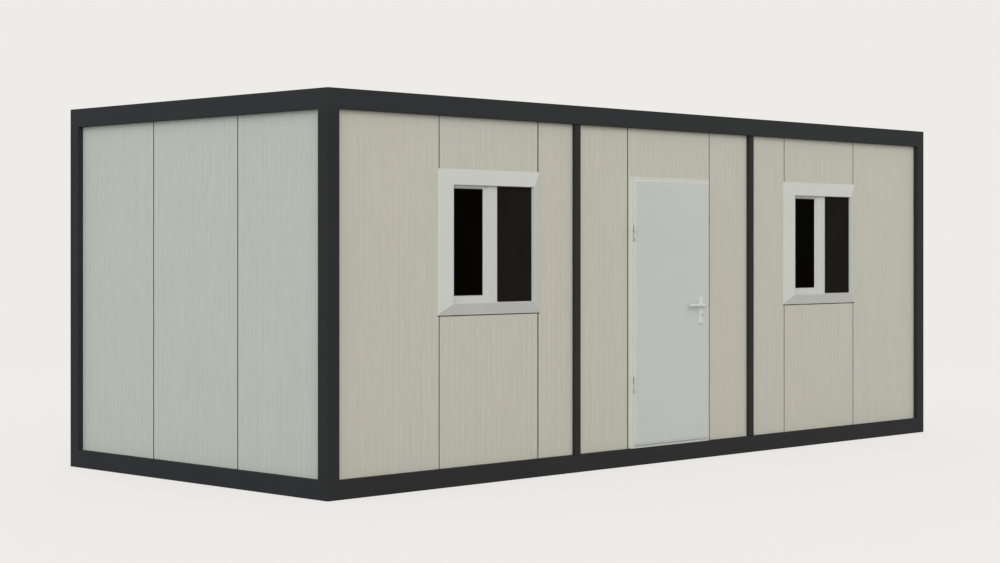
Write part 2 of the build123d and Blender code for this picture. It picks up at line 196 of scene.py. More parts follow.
# %% Height
def raised(tree, shader, *layers):
    """Raise the surface by each (height, depth in metres), one over the other."""
    normal = None
    if tree["edge"] > 0:
        rounding = tree.nodes.new("ShaderNodeBevel")
        rounding.samples = 4
        rounding.inputs["Radius"].default_value = tree["edge"]
        normal = rounding.outputs["Normal"]
    for height, depth in layers:
        lift = tree.nodes.new("ShaderNodeBump")
        lift.inputs["Strength"].default_value = 1.0
        lift.inputs["Distance"].default_value = depth
        tree.links.new(height, lift.inputs["Height"])
        if normal is not None:
            tree.links.new(normal, lift.inputs["Normal"])
        normal = lift.outputs["Normal"]
    tree.links.new(normal, shader.inputs["Normal"])


print("helper ready: raised")

# %% [markdown]
# ## Frame coat
# The posts and rails are powder coated dark grey. Powder coat has a fine orange peel, about two
# millimetres from bump to bump, and over a long rail its tone drifts a little. The roof rails are
# painted slightly lighter, as painted light from the open sky above: the lightening grows over ten
# centimetres of height, where a rail begins.
# The edges of the folded steel are rounded, and catch a thin line of light.

# %% Frame coat
coat_grey = (0.0234, 0.0233, 0.0235)
# Painted light: the roof rails' lighter tone stands in for more light from above.
rail_painted_light = shade(coat_grey, (1.2, 1.25, 1.27))
rail_light_heights = (2.5, 2.6)

frame_coat, tree, shader, place = begin("frame_coat", coat_grey, 0.6, edge=0.003)
drift = noise(tree, place, (0.9, 0.9, 0.7), 3.0)
speck = noise(tree, place, (0.004, 0.004, 0.004), 1.0)
peel = noise(tree, place, (0.0025, 0.0025, 0.0025), 1.0)
tone = mixed(tree, spread(tree, drift, 0.0, 1.0), shade(coat_grey, 0.9), shade(coat_grey, 1.1))
rail_light_share = spread(tree, along(tree, place, "z"), 0.0, 0.6, rail_light_heights)
tone = mixed(tree, rail_light_share, tone, rail_painted_light)
tone = mixed(tree, spread(tree, speck, 0.0, 0.2), tone, shade(coat_grey, 1.35))
tree.links.new(tone, shader.inputs["Base Color"])
tree.links.new(spread(tree, drift, 0.54, 0.66), shader.inputs["Roughness"])
shader.inputs["Specular IOR Level"].default_value = 0.06
raised(tree, shader, (peel, 0.00006))
print("frame coat:", coat_grey)

# %% [markdown]
# ## Panel skin
# The walls are sandwich panels with a coated steel skin. The skin is rolled into shallow upright
# ribs so that the thin sheet stays flat: nineteen low pillows across each panel, with a fine
# valley between neighbours, and a valley on every panel joint. They could be cut in the mesh, but
# a millimetre of height only changes how the light falls, and that is what a bump is for.
# The ribs run along z, so they are counted along x on the long walls and along y on the short
# ones, where they are rolled a little deeper. Towards the right end they are shallower.

# %% Ribs
panel_pitch, ribs_per_panel = 0.985, 19
rib_step = panel_pitch / ribs_per_panel
shallow_between, shallow_share = (0.2, 2.2), 0.55


def rib_pillow(tree, place, axis):
    """Height of the ribs as a share of their full height: with u the place inside one rib from 0
    to 1 it is 4 u (1 - u). Between x = 0.2 and x = 2.2 it falls to 55 percent of that."""
    ribs = work_out(tree, "MULTIPLY", along(tree, place, axis), 1 / rib_step)
    inside = work_out(tree, "FRACT", work_out(tree, "ADD", ribs, 0.5), 0.0)
    left_over = work_out(tree, "SUBTRACT", 1.0, inside)
    pillow = work_out(tree, "MULTIPLY", work_out(tree, "MULTIPLY", inside, 4.0), left_over)
    roll = spread(tree, along(tree, place, "x"), 1.0, shallow_share, shallow_between)
    return work_out(tree, "MULTIPLY", pillow, roll)


print("panel ribs every", round(rib_step * 1000, 1), "mm")

# %% [markdown]
# ### Coil coating
# The skin is coated flat, before it is rolled, and the rollers leave faint upright streaks and a
# very fine grain of short dashes. Noise that is stretched upwards gives both. It has to be thin
# along the wall, so its size is given for the wall and not for x and y.

# %% Panel skins
skin_tone = (0.470, 0.453, 0.380)
rib_height_long, rib_height_end = 0.0011, 0.0013
dash_range = (0.35, 0.65)


def on_wall(axis, run, through, tall):
    """A noise size given along the wall, through it and upwards, for a wall along x or y."""
    return (run, through, tall) if axis == "x" else (through, run, tall)


def panel_skin(name, colour, axis, rib_height):
    """Coated steel on ribs that stand out by rib_height. Streaks change its tone by a percent or
    so, wide clouds make it a little warmer, and short dashes are up to a fiftieth off it."""
    finish, tree, shader, place = begin(name, colour, 0.45, edge=0.0015)
    streak = noise(tree, place, on_wall(axis, 0.05, 5.0, 4.0), 3.0, 0.6)
    cloud = noise(tree, place, on_wall(axis, 0.5, 6.0, 3.0), 2.0)
    dash = noise(tree, place, on_wall(axis, 0.016, 1.0, 0.22), 1.0)
    grain = noise(tree, place, (0.002, 0.002, 0.002), 1.0)
    tone = mixed(tree, spread(tree, streak, 0.0, 1.0), shade(colour, 0.985), shade(colour, 1.012))
    tone = mixed(tree, spread(tree, cloud, 0.0, 0.5), tone, shade(colour, (1.01, 0.995, 0.98)))
    tone = mixed(tree, spread(tree, dash, 0.0, 0.22, dash_range), tone, shade(colour, 1.09))
    tone = mixed(tree, spread(tree, dash, 0.22, 0.0, dash_range), tone, shade(colour, 0.91))
    tree.links.new(tone, shader.inputs["Base Color"])
    tree.links.new(spread(tree, streak, 0.42, 0.5), shader.inputs["Roughness"])
    shader.inputs["Specular IOR Level"].default_value = 0.12
    pillow = rib_pillow(tree, place, axis)
    raised(tree, shader, (pillow, rib_height), (cloud, 0.0006), (grain, 0.00002))
    return finish


panel_long = panel_skin("panel_long", skin_tone, "x", rib_height_long)
panel_end = panel_skin("panel_end", skin_tone, "y", rib_height_end)
print("panel skins:", panel_long.name, panel_end.name)

# %% [markdown]
# ## Window plastic
# The window frames are white plastic profiles, welded at the corners, smooth with a soft gloss.
# Plastic is even in colour, so its haze is faint, and a slow wave of a fifth of a millimetre
# keeps the long faces from looking like a drawing.

# %% Window plastic
plastic_white = (0.504, 0.505, 0.457)
window_plastic, tree, shader, place = begin("window_plastic", plastic_white, 0.4, edge=0.0015)
haze = noise(tree, place, (0.25, 0.25, 0.25), 3.0)
grain = noise(tree, place, (0.0015, 0.0015, 0.0015), 1.0)
clouded(tree, shader, haze, shade(plastic_white, 0.985), shade(plastic_white, 1.015), (0.36, 0.44))
shader.inputs["Specular IOR Level"].default_value = 0.2
raised(tree, shader, (haze, 0.0002), (grain, 0.00001))
print("window plastic:", plastic_white)

# %% [markdown]
# ## Door coat
# The door and its frame are powder coated too, in a white that is a little warmer on the frame
# than on the leaf. One recipe makes both, so that they differ in nothing but their colour.

# %% Door coats
leaf_white = (0.487, 0.492, 0.457)
door_frame_white = (0.503, 0.492, 0.424)


def door_finish(name, colour):
    """Powder coat with a slow drift of tone and a fine orange peel."""
    finish, tree, shader, place = begin(name, colour, 0.45, edge=0.002)
    drift = noise(tree, place, (0.5, 0.5, 0.8), 3.0)
    peel = noise(tree, place, (0.003, 0.003, 0.003), 1.0)
    clouded(tree, shader, drift, shade(colour, 0.99), shade(colour, 1.01))
    tree.links.new(spread(tree, peel, 0.42, 0.52), shader.inputs["Roughness"])
    shader.inputs["Specular IOR Level"].default_value = 0.12
    raised(tree, shader, (drift, 0.0003), (peel, 0.000012))
    return finish


leaf_coat = door_finish("leaf_coat", leaf_white)
door_coat = door_finish("door_coat", door_frame_white)
print("door whites:", leaf_white, door_frame_white)

# %% [markdown]
# ## Glass
# The panes are dark: a room seen through glass looks nearly black by day, and that shade is
# painted into the glass's colour, since clear glass over a modelled room would need a long render
# for the same dark look. A little light still passes. The fixed pane is a little lighter. Both
# panes of a window are one solid, so the finish itself changes at the middle post, 53 cm from the
# frame's left side.

# %% Glass with painted shade
pane_split = 0.53
# The dark tones are painted shade of the room behind the panes.
dark_pane_tones = (0.0006, 0.0003, 0.0002), (0.0012, 0.0007, 0.0005)
lighter_pane_tones = (0.0095, 0.0088, 0.0062), (0.0115, 0.0106, 0.0078)


def glass_painted_shade(name, window):
    """Glass of one window, its darkness painted shade of the room behind. Where x is less than the
    frame's left side plus pane_split the pane is nearly black, and beyond it a little lighter."""
    finish, tree, shader, place = begin(name, (0.003, 0.003, 0.003), 0.04)
    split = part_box(window + "_frame")[0][0] + pane_split
    on_lighter_pane = work_out(tree, "GREATER_THAN", along(tree, place, "x"), split)
    smear = noise(tree, place, (0.12, 0.12, 0.3), 3.0)
    lighter_pane_tone = mixed(tree, spread(tree, smear, 0.0, 1.0), *lighter_pane_tones)
    dark_pane_tone = mixed(tree, spread(tree, smear, 0.0, 1.0), *dark_pane_tones)
    tree.links.new(mixed(tree, on_lighter_pane, dark_pane_tone, lighter_pane_tone), shader.inputs["Base Color"])
    tree.links.new(spread(tree, smear, 0.03, 0.06), shader.inputs["Roughness"])
    shader.inputs["Transmission Weight"].default_value = 0.015
    shader.inputs["IOR"].default_value = 1.45
    shader.inputs["Specular IOR Level"].default_value = 0.004
    raised(tree, shader, (noise(tree, place, (0.6, 0.6, 0.6), 1.0), 0.0002))
    return finish


glass_left = glass_painted_shade("glass_left", "window_left")
glass_right = glass_painted_shade("glass_right", "window_right")
print("glass:", glass_left.name, glass_right.name)

# %% [markdown]
# ## Finish of the lock
# The lever, its plates and the threshold wear the same satin white as the door, only a little
# glossier because hands and boots polish them. The coat is thin over the casting, so it shows
# small waves, and its tone greys a little in places.

# %% Lock coat
lock_white = (0.545, 0.545, 0.520)
lock_coat, tree, shader, place = begin("lock_coat", lock_white, 0.36, edge=0.0008)
rubbed = noise(tree, place, (0.018, 0.018, 0.018), 3.0, 0.6)
grain = noise(tree, place, (0.0012, 0.0012, 0.0012), 1.0)
clouded(tree, shader, rubbed, shade(lock_white, 0.96), shade(lock_white, 1.03), (0.3, 0.42))
shader.inputs["Specular IOR Level"].default_value = 0.3
raised(tree, shader, (rubbed, 0.0001), (grain, 0.00001))
print("lock coat:", lock_white)

# %% [markdown]
# ## Key cylinder
# The cylinder is dull nickelled brass. It is bare metal, so its colour tints all that it
# mirrors, and a patina with patches of a few millimetres makes it dull in places.

# %% Cylinder brass
brass_tones = (0.40, 0.37, 0.30), (0.48, 0.45, 0.38)
brass, tree, shader, place = begin("brass", (0.44, 0.41, 0.34), 0.4, edge=0.0005)
patina = noise(tree, place, (0.004, 0.004, 0.004), 3.0)
clouded(tree, shader, patina, *brass_tones, (0.28, 0.45))
shader.inputs["Metallic"].default_value = 1.0
raised(tree, shader, (patina, 0.00003))
print("cylinder brass:", *brass_tones)

# %% [markdown]
# ## Floor boards and lining
# The floor is sealed board with a wood grain along the cabin: a noise stretched sixty times as
# long as it is wide. The ceiling is white board with a felty face.

# %% Floor board and lining
board_brown = (0.26, 0.18, 0.11)
floor_board, tree, shader, place = begin("floor_board", board_brown, 0.45, edge=0.001)
wood = noise(tree, place, (1.2, 0.02, 0.05), 6.0, 0.65)
clouded(tree, shader, wood, shade(board_brown, 0.65), shade(board_brown, 1.25), (0.38, 0.55))
raised(tree, shader, (wood, 0.0003))

lining_tones = (0.6, 0.6, 0.58), (0.64, 0.64, 0.62)
lining_white, tree, shader, place = begin("lining_white", (0.62, 0.62, 0.6), 0.6, edge=0.001)
stain = noise(tree, place, (0.8, 0.8, 0.8), 2.0)
felt = noise(tree, place, (0.006, 0.006, 0.006), 2.0)
clouded(tree, shader, stain, *lining_tones)
raised(tree, shader, (felt, 0.00008))
print("inside:", floor_board.name, lining_white.name)

# %% [markdown]
# ## Zinc
# The roof sheet is galvanised, and so are the joists and purlins. Zinc grows in flat crystals a
# couple of centimetres wide, each with its own tone. Voronoi cells with a random colour each,
# turned to grey, look just like them. Old zinc is dull, so it is mostly a matt face with only a
# little metal in it.

# %% Zinc
crystals_per_metre = 45.0
tone_range = (0.2, 0.8)


def zinc(name, low, high, roughness):
    """Zinc crystals: each cell's random grey picks its tone between low and high and its
    roughness, and streaks darken the face where water ran."""
    finish, tree, shader, place = begin(name, low, roughness, edge=0.001)
    crystals = tree.nodes.new("ShaderNodeTexVoronoi")
    crystals.inputs["Scale"].default_value = crystals_per_metre
    tree.links.new(place, crystals.inputs["Vector"])
    cell = tree.nodes.new("ShaderNodeRGBToBW")
    tree.links.new(crystals.outputs["Color"], cell.inputs["Color"])
    grey = cell.outputs["Val"]
    streak = noise(tree, place, (0.04, 1.5, 1.5), 3.0, 0.6)
    tone = mixed(tree, spread(tree, grey, 0.0, 1.0, tone_range), low, high)
    tone = mixed(tree, spread(tree, streak, 0.0, 0.35), tone, shade(low, 0.85))
    rough = spread(tree, grey, roughness - 0.06, roughness + 0.08, tone_range)
    tree.links.new(tone, shader.inputs["Base Color"])
    tree.links.new(rough, shader.inputs["Roughness"])
    shader.inputs["Metallic"].default_value = 0.25
    shader.inputs["Specular IOR Level"].default_value = 0.15
    raised(tree, shader, (streak, 0.0003), (grey, 0.00003))
    return finish


roof_zinc = zinc("roof_zinc", (0.35, 0.36, 0.37), (0.42, 0.43, 0.44), 0.55)
inner_steel = zinc("inner_steel", (0.31, 0.31, 0.31), (0.37, 0.37, 0.375), 0.5)
print("zinc:", roof_zinc.name, inner_steel.name)

# %% [markdown]
# ## Give each solid its finish
# The record names a material slot for every node. One table joins the slots to the finishes made
# above. A second one is for the few nodes that differ from the rest of their slot: the leaf and
# its hinges are the cooler white, the right window's lighter pane starts at its own split, and
# boots polish the threshold.

# %% Assign the finishes
finish_of_slot = {
    "frame_paint": frame_coat, "panel_front": panel_long, "panel_end": panel_end,
    "window_plastic": window_plastic, "glass": glass_left, "door_paint": door_coat,
    "hardware": lock_coat, "cylinder_brass": brass, "floor_board": floor_board,
    "inner_steel": inner_steel, "lining": lining_white, "roof_steel": roof_zinc,
}
finish_of_node = {
    "door_leaf": leaf_coat, "door_hinges_frame_half": leaf_coat,
    "door_hinges_leaf_half": leaf_coat, "door_threshold": lock_coat,
    "window_right_glass": glass_right,
}
for subpart in frame["record"]["subparts"]:
    node = subpart["node"]
    finishes = frame["nodes"][node].data.materials
    finishes.clear()
    finishes.append(finish_of_node.get(node, finish_of_slot[subpart["material_slot"]]))

# %% [markdown]
# ## A helper for the fine pieces
# The solids stop at the size of a door lever. Seals, screws and a soft bent grip come next, and
# all of them can be made in one way: closed outlines set one behind the other like the hoops of a
# barrel, with a skin drawn over them. Numpy works out all the points of all the hoops at once, so
# a piece is one array. Extruding and bevelling primitives would also work, but an array keeps
# every size readable, and one call makes sixty screws as easily as one.

# %% Helper for pieces
import bmesh


def skinned(name, hoops, finish, body, joined=False, crease=35.0):
    """A skin over hoops, an array of copies x hoops x points x 3. Point j of hoop i is joined to
    point j of hoop i + 1. The end hoops are closed with a face each, or joined to each other if
    joined is true. Edges that turn by more than crease degrees stay sharp."""
    copies, count, points = hoops.shape[:3]
    hoop, point = np.meshgrid(np.arange(count if joined else count - 1), np.arange(points),
                              indexing="ij")
    near, far, after = hoop * points, (hoop + 1) % count * points, (point + 1) % points
    quads = np.stack([near + point, near + after, far + after, far + point], -1).reshape(-1, 4)
    start = np.arange(copies)[:, None, None] * count * points
    faces = (start + quads).reshape(-1, 4).tolist()
    if not joined:
        ends = np.stack([np.arange(points)[::-1], (count - 1) * points + np.arange(points)])
        faces += (start + ends).reshape(-1, points).tolist()
    mesh = bpy.data.meshes.new(name)
    mesh.from_pydata(hoops.reshape(-1, 3).tolist(), [], faces)
    work = bmesh.new()
    work.from_mesh(mesh)
    bmesh.ops.recalc_face_normals(work, faces=work.faces)
    work.to_mesh(mesh)
    work.free()
    mesh.polygons.foreach_set("use_smooth", np.ones(len(mesh.polygons), bool))
    mesh.set_sharp_from_angle(angle=np.radians(crease))
    mesh.materials.append(finish)
    piece = bpy.data.objects.new(name, mesh)
    bpy.context.scene.collection.objects.link(piece)
    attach(piece, body)
    print(name + ":", copies, "x", len(quads), "faces")
    return piece


print("helper ready: skinned")

# %% [markdown]
# ### Hoops
# Hoops come about in two ways. Some pieces are written down as x, y and z, and some are an
# outline that is carried along a path, with a direction for each of the outline's two numbers.

# %% Helpers for hoops
upward = np.array([(0.0, 0.0, 1.0)])
forward = np.array([(0.0, -1.0, 0.0)])


def side_by_side(*parts):
    """The parts, repeated until they have one size, as the columns of an array."""
    return np.stack(np.broadcast_arrays(*parts), -1)


def carried(path, side, rise, outline):
    """Hoops of an outline carried along a path: path point + side * first number + rise * second
    number."""
    first, second = outline[..., 0:1], outline[..., 1:2]
    return path[:, None, :] + first * side[:, None, :] + second * rise[:, None, :]


def turned(points):
    """Equal steps of one whole turn, in radians."""
    return np.arange(points) * 2 * np.pi / points


print("helpers ready: side_by_side, carried, turned")

# %% [markdown]
# ## Seals
# Three soft materials close the gaps. Dark sealant fills the grooves between the panels, where its
# near-black is partly painted shade, and a bead of it under each window trim is painted shadow.
# Black rubber holds the panes, and on the key slots its black is painted shade. The door closes on
# pale rubber. They are one recipe with other numbers. Pale rubber shows every cloud, so its tone
# drifts less.

# %% Seal finishes
def rubber(name, colour, roughness, grain, drift=0.2):
    """Soft rubber or sealant: a cloudy tone that drifts down and up from its colour by a share of
    drift, a matt face with smoother places, and a fine grain."""
    finish, tree, shader, place = begin(name, colour, roughness)
    cloud = noise(tree, place, (0.05, 0.05, 0.15), 3.0, 0.6)
    grit = noise(tree, place, (grain, grain, grain), 2.0)
    clouded(tree, shader, cloud, shade(colour, 1 - drift), shade(colour, 1 + drift),
            (roughness - 0.08, roughness + 0.08))
    shader.inputs["Specular IOR Level"].default_value = 0.2
    raised(tree, shader, (cloud, 0.0002), (grit, 0.00008))
    return finish


# Near-black sealant: in the grooves it is partly painted shade of deep slits, and under the trims
# it is painted shadow.
sealant_painted_shade = rubber("sealant_painted_shade", (0.018, 0.017, 0.013), 0.7, 0.002)
black_rubber_and_slot_shade = rubber("black_rubber_and_slot_shade", (0.008, 0.008, 0.008), 0.55, 0.0015)
pale_rubber = rubber("pale_rubber", (0.58, 0.58, 0.55), 0.6, 0.0015, drift=0.05)
sweep_rubber = rubber("sweep_rubber", (0.475, 0.475, 0.45), 0.6, 0.0015, drift=0.05)
print("seal finishes:", sealant_painted_shade.name, black_rubber_and_slot_shade.name, pale_rubber.name, sweep_rubber.name)

# %% [markdown]
# ### Where the grooves are
# The panels meet in open grooves 8 mm wide and deep. Sealant is pressed in by hand. Its depth and
# width differ from groove to groove, which sets how dark each joint line is: painted shade. In a
# few places it laps a millimetre over the skins. A recess is how far back the sealant's edges lie,
# and where it is below zero they stand out.

# %% Places of the grooves
wall_low, wall_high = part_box("front_panel_left")
trim_low, trim_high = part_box("window_left_trim")
wall_foot, wall_head, skin_front = wall_low[2], wall_high[2], wall_low[1]
skin_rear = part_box("rear_panels")[1][1]
skin_left, skin_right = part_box("left_end_panels")[0][0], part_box("right_end_panels")[1][0]
groove_half, groove_depth, trim_lap = 0.00395, 0.0078, 0.003
long_joints = (np.arange(6) - 2.5) * panel_pitch
end_joints = (np.arange(2) - 0.5) * panel_pitch
# The recess and half width of each front groove set how dark its joint line is: painted shade.
front_recess = np.array([0.0006, -0.0003, -0.0003, 0.0018, 0.0006, 0.0002])
front_half = np.array([0.00395, 0.0054, 0.0044, 0.00395, 0.00395, 0.00395])
left_recess, left_half, far_recess = -0.0003, 0.0046, 0.0012
print("grooves on a long wall at x =", long_joints.round(4))

# %% [markdown]
# ### A table of the grooves
# One row per groove holds what differs, and then one formula can fill them all. The front grooves
# that meet a window stop under its trim and go on above it, so each of them has two rows.

# %% Table of the grooves
front_wall, rear_wall, left_wall, right_wall = range(4)
windowed, whole = [0, 1, 4, 5], [2, 3]


def groove_rows(across_at, skin, recess, half, wall, foot=wall_foot, head=wall_head):
    """One row per groove: its place across the wall, where the skin is, how far back the sealant
    lies, its half width, the wall's number, and the groove's foot and head."""
    return side_by_side(across_at, skin, recess, half, wall, foot, head).astype(float)


def front_rows(which, foot=wall_foot, head=wall_head):
    """Rows of some of the front wall's grooves, which are numbered from the left."""
    return groove_rows(long_joints[which], skin_front, front_recess[which], front_half[which],
                       front_wall, foot, head)


groove_table = np.concatenate([
    front_rows(windowed, head=trim_low[2] + trim_lap),
    front_rows(windowed, foot=trim_high[2] - trim_lap),
    front_rows(whole),
    groove_rows(long_joints, skin_rear, far_recess, groove_half, rear_wall),
    groove_rows(end_joints, skin_left, left_recess, left_half, left_wall),
    groove_rows(end_joints, skin_right, far_recess, groove_half, right_wall)])
print("grooves to fill:", len(groove_table))

# %% [markdown]
# ### Sealant in the grooves
# A spatula leaves the face of the sealant hollow, and the hand that draws it never keeps quite
# the same depth. Each groove is a row of hoops from its foot to its head. A flat strip would be
# simpler, but the hollow is what gives a joint its soft dark line.

# %% Sealant in the grooves
outward_of = np.array([(0, -1, 0), (0, 1, 0), (-1, 0, 0), (1, 0, 0)], float)
sideways_of = np.array([(1, 0, 0), (1, 0, 0), (0, 1, 0), (0, 1, 0)], float)
face_points, face_hollow, face_wave = 9, 0.0007, 0.0002


def groove_fill(table, steps=33):
    """Across each groove a number t runs from -1 to 1. The face lies recess + 0.7 mm (1 - t
    squared) below the skin, plus a slow wave of 0.2 mm along the height, and two more points
    close the section behind."""
    t = np.concatenate([np.linspace(-1, 1, face_points), [1, -1]])
    on_face = np.arange(len(t)) < face_points
    across_at, skin, recess, half, wall, foot, head = (table[:, None, None, k] for k in range(7))
    wall = wall.astype(int)
    height = foot + (head - foot) * np.linspace(0, 1, steps)[None, :, None]
    wave = face_wave * np.sin(height * 17 + across_at * 9) * (1 - t ** 2)
    depth = np.where(on_face, recess + face_hollow * (1 - t ** 2) + wave, groove_depth)
    across = across_at + np.where(on_face, half, groove_half) * t
    points = across[..., None] * sideways_of[wall]
    points = points + (np.abs(skin) - depth)[..., None] * outward_of[wall]
    points[..., 2] = np.broadcast_to(height, points.shape[:3])
    return points


skinned("joint_seals", groove_fill(groove_table), sealant_painted_shade, "cabin")

# %% [markdown]
# ### Painted shadow under the window trims
# A bead of the same sealant runs under each trim, and its near-black is painted shadow where the
# trim's shadow falls. Its section is a quarter round that is carried along the trim's foot, and it
# swells and thins a little on the way.

# %% Painted shadow under the window trims
bead_out, bead_drop, bead_back, bead_end = 0.003, 0.007, -0.0002, 0.002
quarter = np.linspace(0, np.pi / 2, 7)
bead_section = np.concatenate([
    np.stack([bead_out * np.cos(quarter), -bead_drop * np.sin(quarter)], -1),
    [(bead_back, -bead_drop), (bead_back, 0.0)]])


def trim_shadow_bead(trim, steps=41):
    """A quarter round along the foot of one trim. It stands out 3 mm and hangs down 7 mm, and
    both are multiplied by 1 + 0.06 times a slow sine."""
    low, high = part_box(trim)
    x = np.linspace(low[0] + bead_end, high[0] - bead_end, steps)
    swell = (1 + 0.06 * np.sin(x * 21))[:, None, None]
    return carried(side_by_side(x, skin_front, low[2]), forward, upward, bead_section * swell)


# Painted shadow: the dark beads stand where the shadow under each trim falls.
sill_shadow_beads = np.stack([trim_shadow_bead("window_left_trim"), trim_shadow_bead("window_right_trim")])
skinned("sill_painted_shadow", sill_shadow_beads, sealant_painted_shade, "cabin")

# %% [markdown]
# ### Rubber round the panes
# A black rubber wedge holds each pane, pushed in all round and mitred at the corners. Its section
# has seven points: it starts half a millimetre inside the glass, stands up nearly 4 mm beside the
# frame and slopes down to the glass. A loop needs only four hoops, one slantwise in each corner.

# %% Rubber round the panes
wedge_in = np.array([0.0, 0.0, 0.0010, 0.0024, 0.0038, 0.0042, 0.0042])
wedge_out = np.array([-0.0005, 0.0032, 0.0038, 0.0036, 0.0022, 0.0008, -0.0005])
corner_x, corner_z = np.array([0, 1, 1, 0])[:, None], np.array([0, 0, 1, 1])[:, None]
frame_width = 0.070
sash_pane_x, sash_pane_z, sash_pane_back = (0.143, 0.4225), (1.320, 2.066), 0.014
fixed_pane_x = (0.554, 0.904)


def pane_wedges(window):
    """Two mitred loops. At each corner the wedge's section runs in at 45 degrees from the pane's
    corner. Places along x are counted from the window's left side."""
    low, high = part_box(window + "_glass")
    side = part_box(window + "_sash")[0][0] - frame_width
    sash_pane = (side + sash_pane_x[0], side + sash_pane_x[1], *sash_pane_z,
                 low[1] + sash_pane_back)
    fixed_pane = (side + fixed_pane_x[0], side + fixed_pane_x[1], low[2], high[2], low[1])
    start, stop, foot, head, face = np.array([sash_pane, fixed_pane]).T[:, :, None, None]
    x = start + (stop - start) * corner_x + wedge_in * (1 - 2 * corner_x)
    z = foot + (head - foot) * corner_z + wedge_in * (1 - 2 * corner_z)
    return side_by_side(x, face - wedge_out, z)


wedges = np.concatenate([pane_wedges("window_left"), pane_wedges("window_right")])
skinned("pane_seals", wedges, black_rubber_and_slot_shade, "cabin", joined=True)

# %% [markdown]
# ### Door seal
# A pale bulb seal runs up one side of the door frame, over the door and down the other side, and
# the leaf closes on it. Its eight points go from a flat tongue under the leaf's edge to a round
# bulb outside. As with the panes, the two upper hoops lie slantwise in the corners.

# %% Door seal
leaf_low, leaf_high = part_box("door_leaf")
frame_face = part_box("door_frame")[0][1]
bulb_out = np.array([-0.0120, -0.0120, -0.0020, 0.0020, 0.0042, 0.0056, 0.0060, 0.0052])
bulb_high = np.array([-0.0002, 0.0042, 0.0046, 0.0045, 0.0039, 0.0027, 0.0012, -0.0002])
seal_inset, seal_foot = 0.0015, 0.151
seal_side, seal_head = leaf_high[0] - seal_inset, leaf_high[2] - seal_inset
lean_x, lean_z = np.array([-1, -1, 1, 1])[:, None], np.array([0, 1, 1, 0])[:, None]
seal_z = np.array([seal_foot, seal_head, seal_head, seal_foot])[:, None]
bulb = side_by_side(lean_x * seal_side + lean_x * bulb_out, frame_face - bulb_high,
                    seal_z + lean_z * bulb_out)
skinned("door_seal", bulb[None], pale_rubber, "cabin", crease=60)

# %% [markdown]
# ### Door sweep
# A flat rubber sweep hangs from the leaf's foot and brushes over the threshold. Its section is a
# blade with a half round lower edge. It is fixed to the leaf, so it swings with it.

# %% Door sweep
sweep_half = 0.436
blade_middle, blade_half, blade_drop, edge_drop = 0.0060, 0.0045, 0.0085, 0.0040
half_turn = np.linspace(0, np.pi, 9)
sweep_back = np.concatenate([blade_middle - blade_half * np.cos(half_turn), [0.0105, 0.0015]])
sweep_rise = np.concatenate([-blade_drop - edge_drop * np.sin(half_turn), [0.0002, 0.0032]])
sweep_x = np.linspace(-sweep_half, sweep_half, 9)[:, None]
sweep = side_by_side(sweep_x, leaf_low[1] + sweep_back, leaf_low[2] + sweep_rise)
skinned("door_sweep", sweep[None], sweep_rubber, "door_leaf")

# %% [markdown]
# ## Lever
# One bar is bent into a grip on each side of the leaf. Its neck is round where it turns in the
# plate, swells into a knuckle at the bend, and flattens to an oval that fills the hand. The lever
# is an oval carried along a bent path. A sphere and some cylinders would meet in hard creases
# where the real casting flows.

# %% Path of the lever
cylinder_low, cylinder_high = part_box("lock_cylinder")
lever_low, lever_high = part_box("door_levers")
spindle_x = (cylinder_low[0] + cylinder_high[0]) / 2
lever_z = (lever_low[2] + lever_high[2]) / 2
leaf_middle = (leaf_low[1] + leaf_high[1]) / 2
grip_inset = 0.012
grip_tip, grip_y = lever_low[0] + grip_inset, lever_low[1] + grip_inset
crank, bend, grip_bow, dome_length = 0.004, 0.013, 0.0016, 0.009
reach = spindle_x + crank - grip_tip


def lever_path():
    """Half of the path seen from above, in three parts: a grip that bows by 1.6 mm times a sine
    squared, a quarter bend, and a neck that leans out by a 4 mm crank, half a cosine."""
    lift = np.linspace(0, np.pi / 2, 9)[:-1]
    from_tip = np.concatenate([dome_length * (1 - np.cos(lift)),
                               np.linspace(dome_length, reach - bend, 30)])
    bow = grip_bow * np.sin(np.pi * from_tip / reach) ** 2
    grip = np.stack([grip_tip + from_tip, grip_y + bow], -1)
    arc = np.linspace(0, np.pi / 2, 12)[1:]
    turn = np.stack([grip_tip + reach - bend + bend * np.sin(arc),
                     grip_y + bend - bend * np.cos(arc)], -1)
    down = np.linspace(0, 1, 14)[1:]
    lean = crank * 0.5 * (1 + np.cos(np.pi * np.clip(down * 3, 0, 1)))
    neck = np.stack([spindle_x + lean,
                     grip_y + bend + (leaf_middle - grip_y - bend) * down], -1)
    return np.concatenate([grip, turn, neck])


print("lever reach:", round(reach, 4))

# %% [markdown]
# ### Thickness of the lever
# The oval's size is a function of how far along the path it is. It is nearly the same along the
# whole grip, and only the knuckle stands out, so a bell curve is added there to a plain slope.

# %% Thickness of the lever
grip_half, neck_half = np.array([0.0086, 0.0106]), 0.0100
slope_length, knuckle, knuckle_length = 0.03, np.array([0.0020, 0.0030]), 0.011


def lever_size(step):
    """Half width and half height of the oval. They go from 8.6 and 10.6 mm on the grip to 10 mm
    on the neck, a bell curve round the bend adds 2 and 3 mm, and the tip is a half dome."""
    bell = np.exp(-((step - (reach - bend / 3)) / knuckle_length) ** 2)[:, None]
    on_neck = np.clip((step - reach + slope_length) / slope_length, 0, 1)[:, None]
    dome = np.sqrt(1 - np.clip(1 - step / dome_length, 0, 0.995) ** 2)[:, None]
    return (grip_half + (neck_half - grip_half) * on_neck + knuckle * bell) * dome


print("lever half sizes, grip:", grip_half, "neck:", neck_half)

